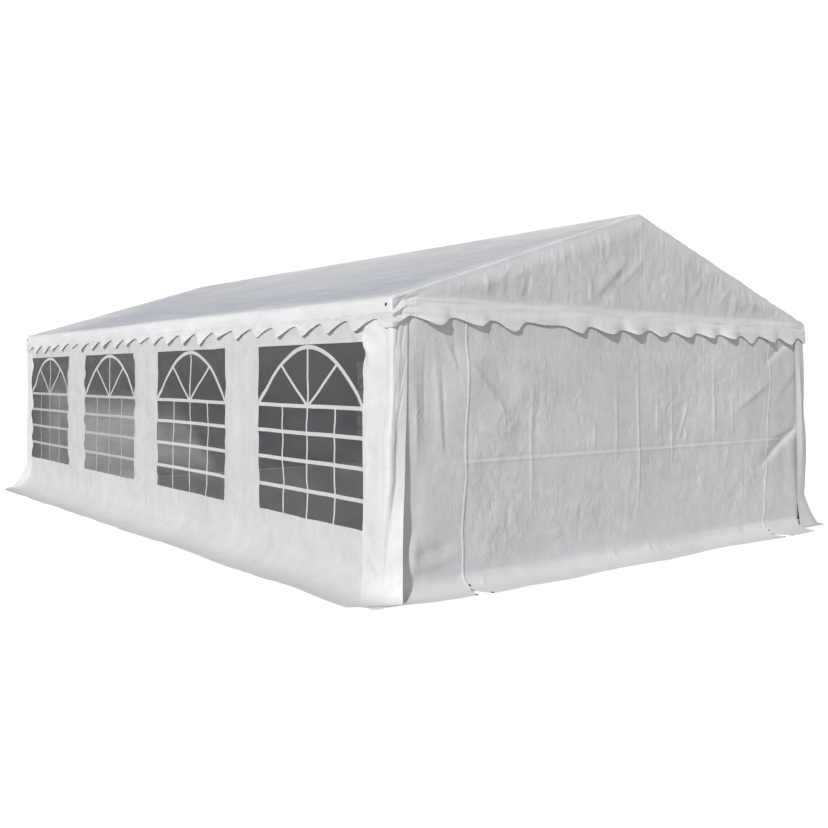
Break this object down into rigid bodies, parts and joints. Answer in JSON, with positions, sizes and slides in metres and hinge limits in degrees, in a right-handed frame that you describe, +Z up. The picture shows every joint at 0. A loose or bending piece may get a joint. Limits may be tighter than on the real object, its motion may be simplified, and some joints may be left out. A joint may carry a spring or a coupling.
{
  "type": "party marquee tent",
  "caption": "Gabled party marquee with a steel tube frame, scalloped valances, arched window panels along both sides and a zipped door in each end.",
  "frame": {"origin": "on the ground, at the middle of the tent", "axes": "+Z up, +Y along the ridge towards the back gable, +X across to the right as seen from the front"},
  "size_m": [5.605, 8.485, 2.76],
  "materials": {
    "roof_cloth": "coated woven polyethylene, satin",
    "wall_cloth": "coated woven polyethylene, satin",
    "window_film": "clear film with pale printed bars",
    "steel": "galvanised tube"
  },
  "bodies": {
    "root": {"roof_cover": "roof_cloth", "gable_panel_front": "roof_cloth", "front_door": "wall_cloth", "front_wall_left": "wall_cloth", "front_wall_right": "wall_cloth", "gable_panel_back": "roof_cloth", "back_door": "wall_cloth", "back_wall_left": "wall_cloth", "back_wall_right": "wall_cloth", "side_wall_left": "wall_cloth", "side_wall_right": "wall_cloth", "window_left_1": "window_film", "window_left_2": "window_film", "window_left_3": "window_film", "window_left_4": "window_film", "window_right_1": "window_film", "window_right_2": "window_film", "window_right_3": "window_film", "window_right_4": "window_film", "post_left_1": "steel", "post_left_2": "steel", "post_left_3": "steel", "post_left_4": "steel", "post_left_5": "steel", "rafter_left_1": "steel", "rafter_left_2": "steel", "rafter_left_3": "steel", "rafter_left_4": "steel", "rafter_left_5": "steel", "middle_purlin_left_1": "steel", "middle_purlin_left_2": "steel", "middle_purlin_left_3": "steel", "middle_purlin_left_4": "steel", "eave_rail_left": "steel", "post_right_1": "steel", "post_right_2": "steel", "post_right_3": "steel", "post_right_4": "steel", "post_right_5": "steel", "rafter_right_1": "steel", "rafter_right_2": "steel", "rafter_right_3": "steel", "rafter_right_4": "steel", "rafter_right_5": "steel", "middle_purlin_right_1": "steel", "middle_purlin_right_2": "steel", "middle_purlin_right_3": "steel", "middle_purlin_right_4": "steel", "eave_rail_right": "steel", "ridge_rail": "steel", "gable_bar_front": "steel", "gable_bar_back": "steel"}
  },
  "joints": []
}
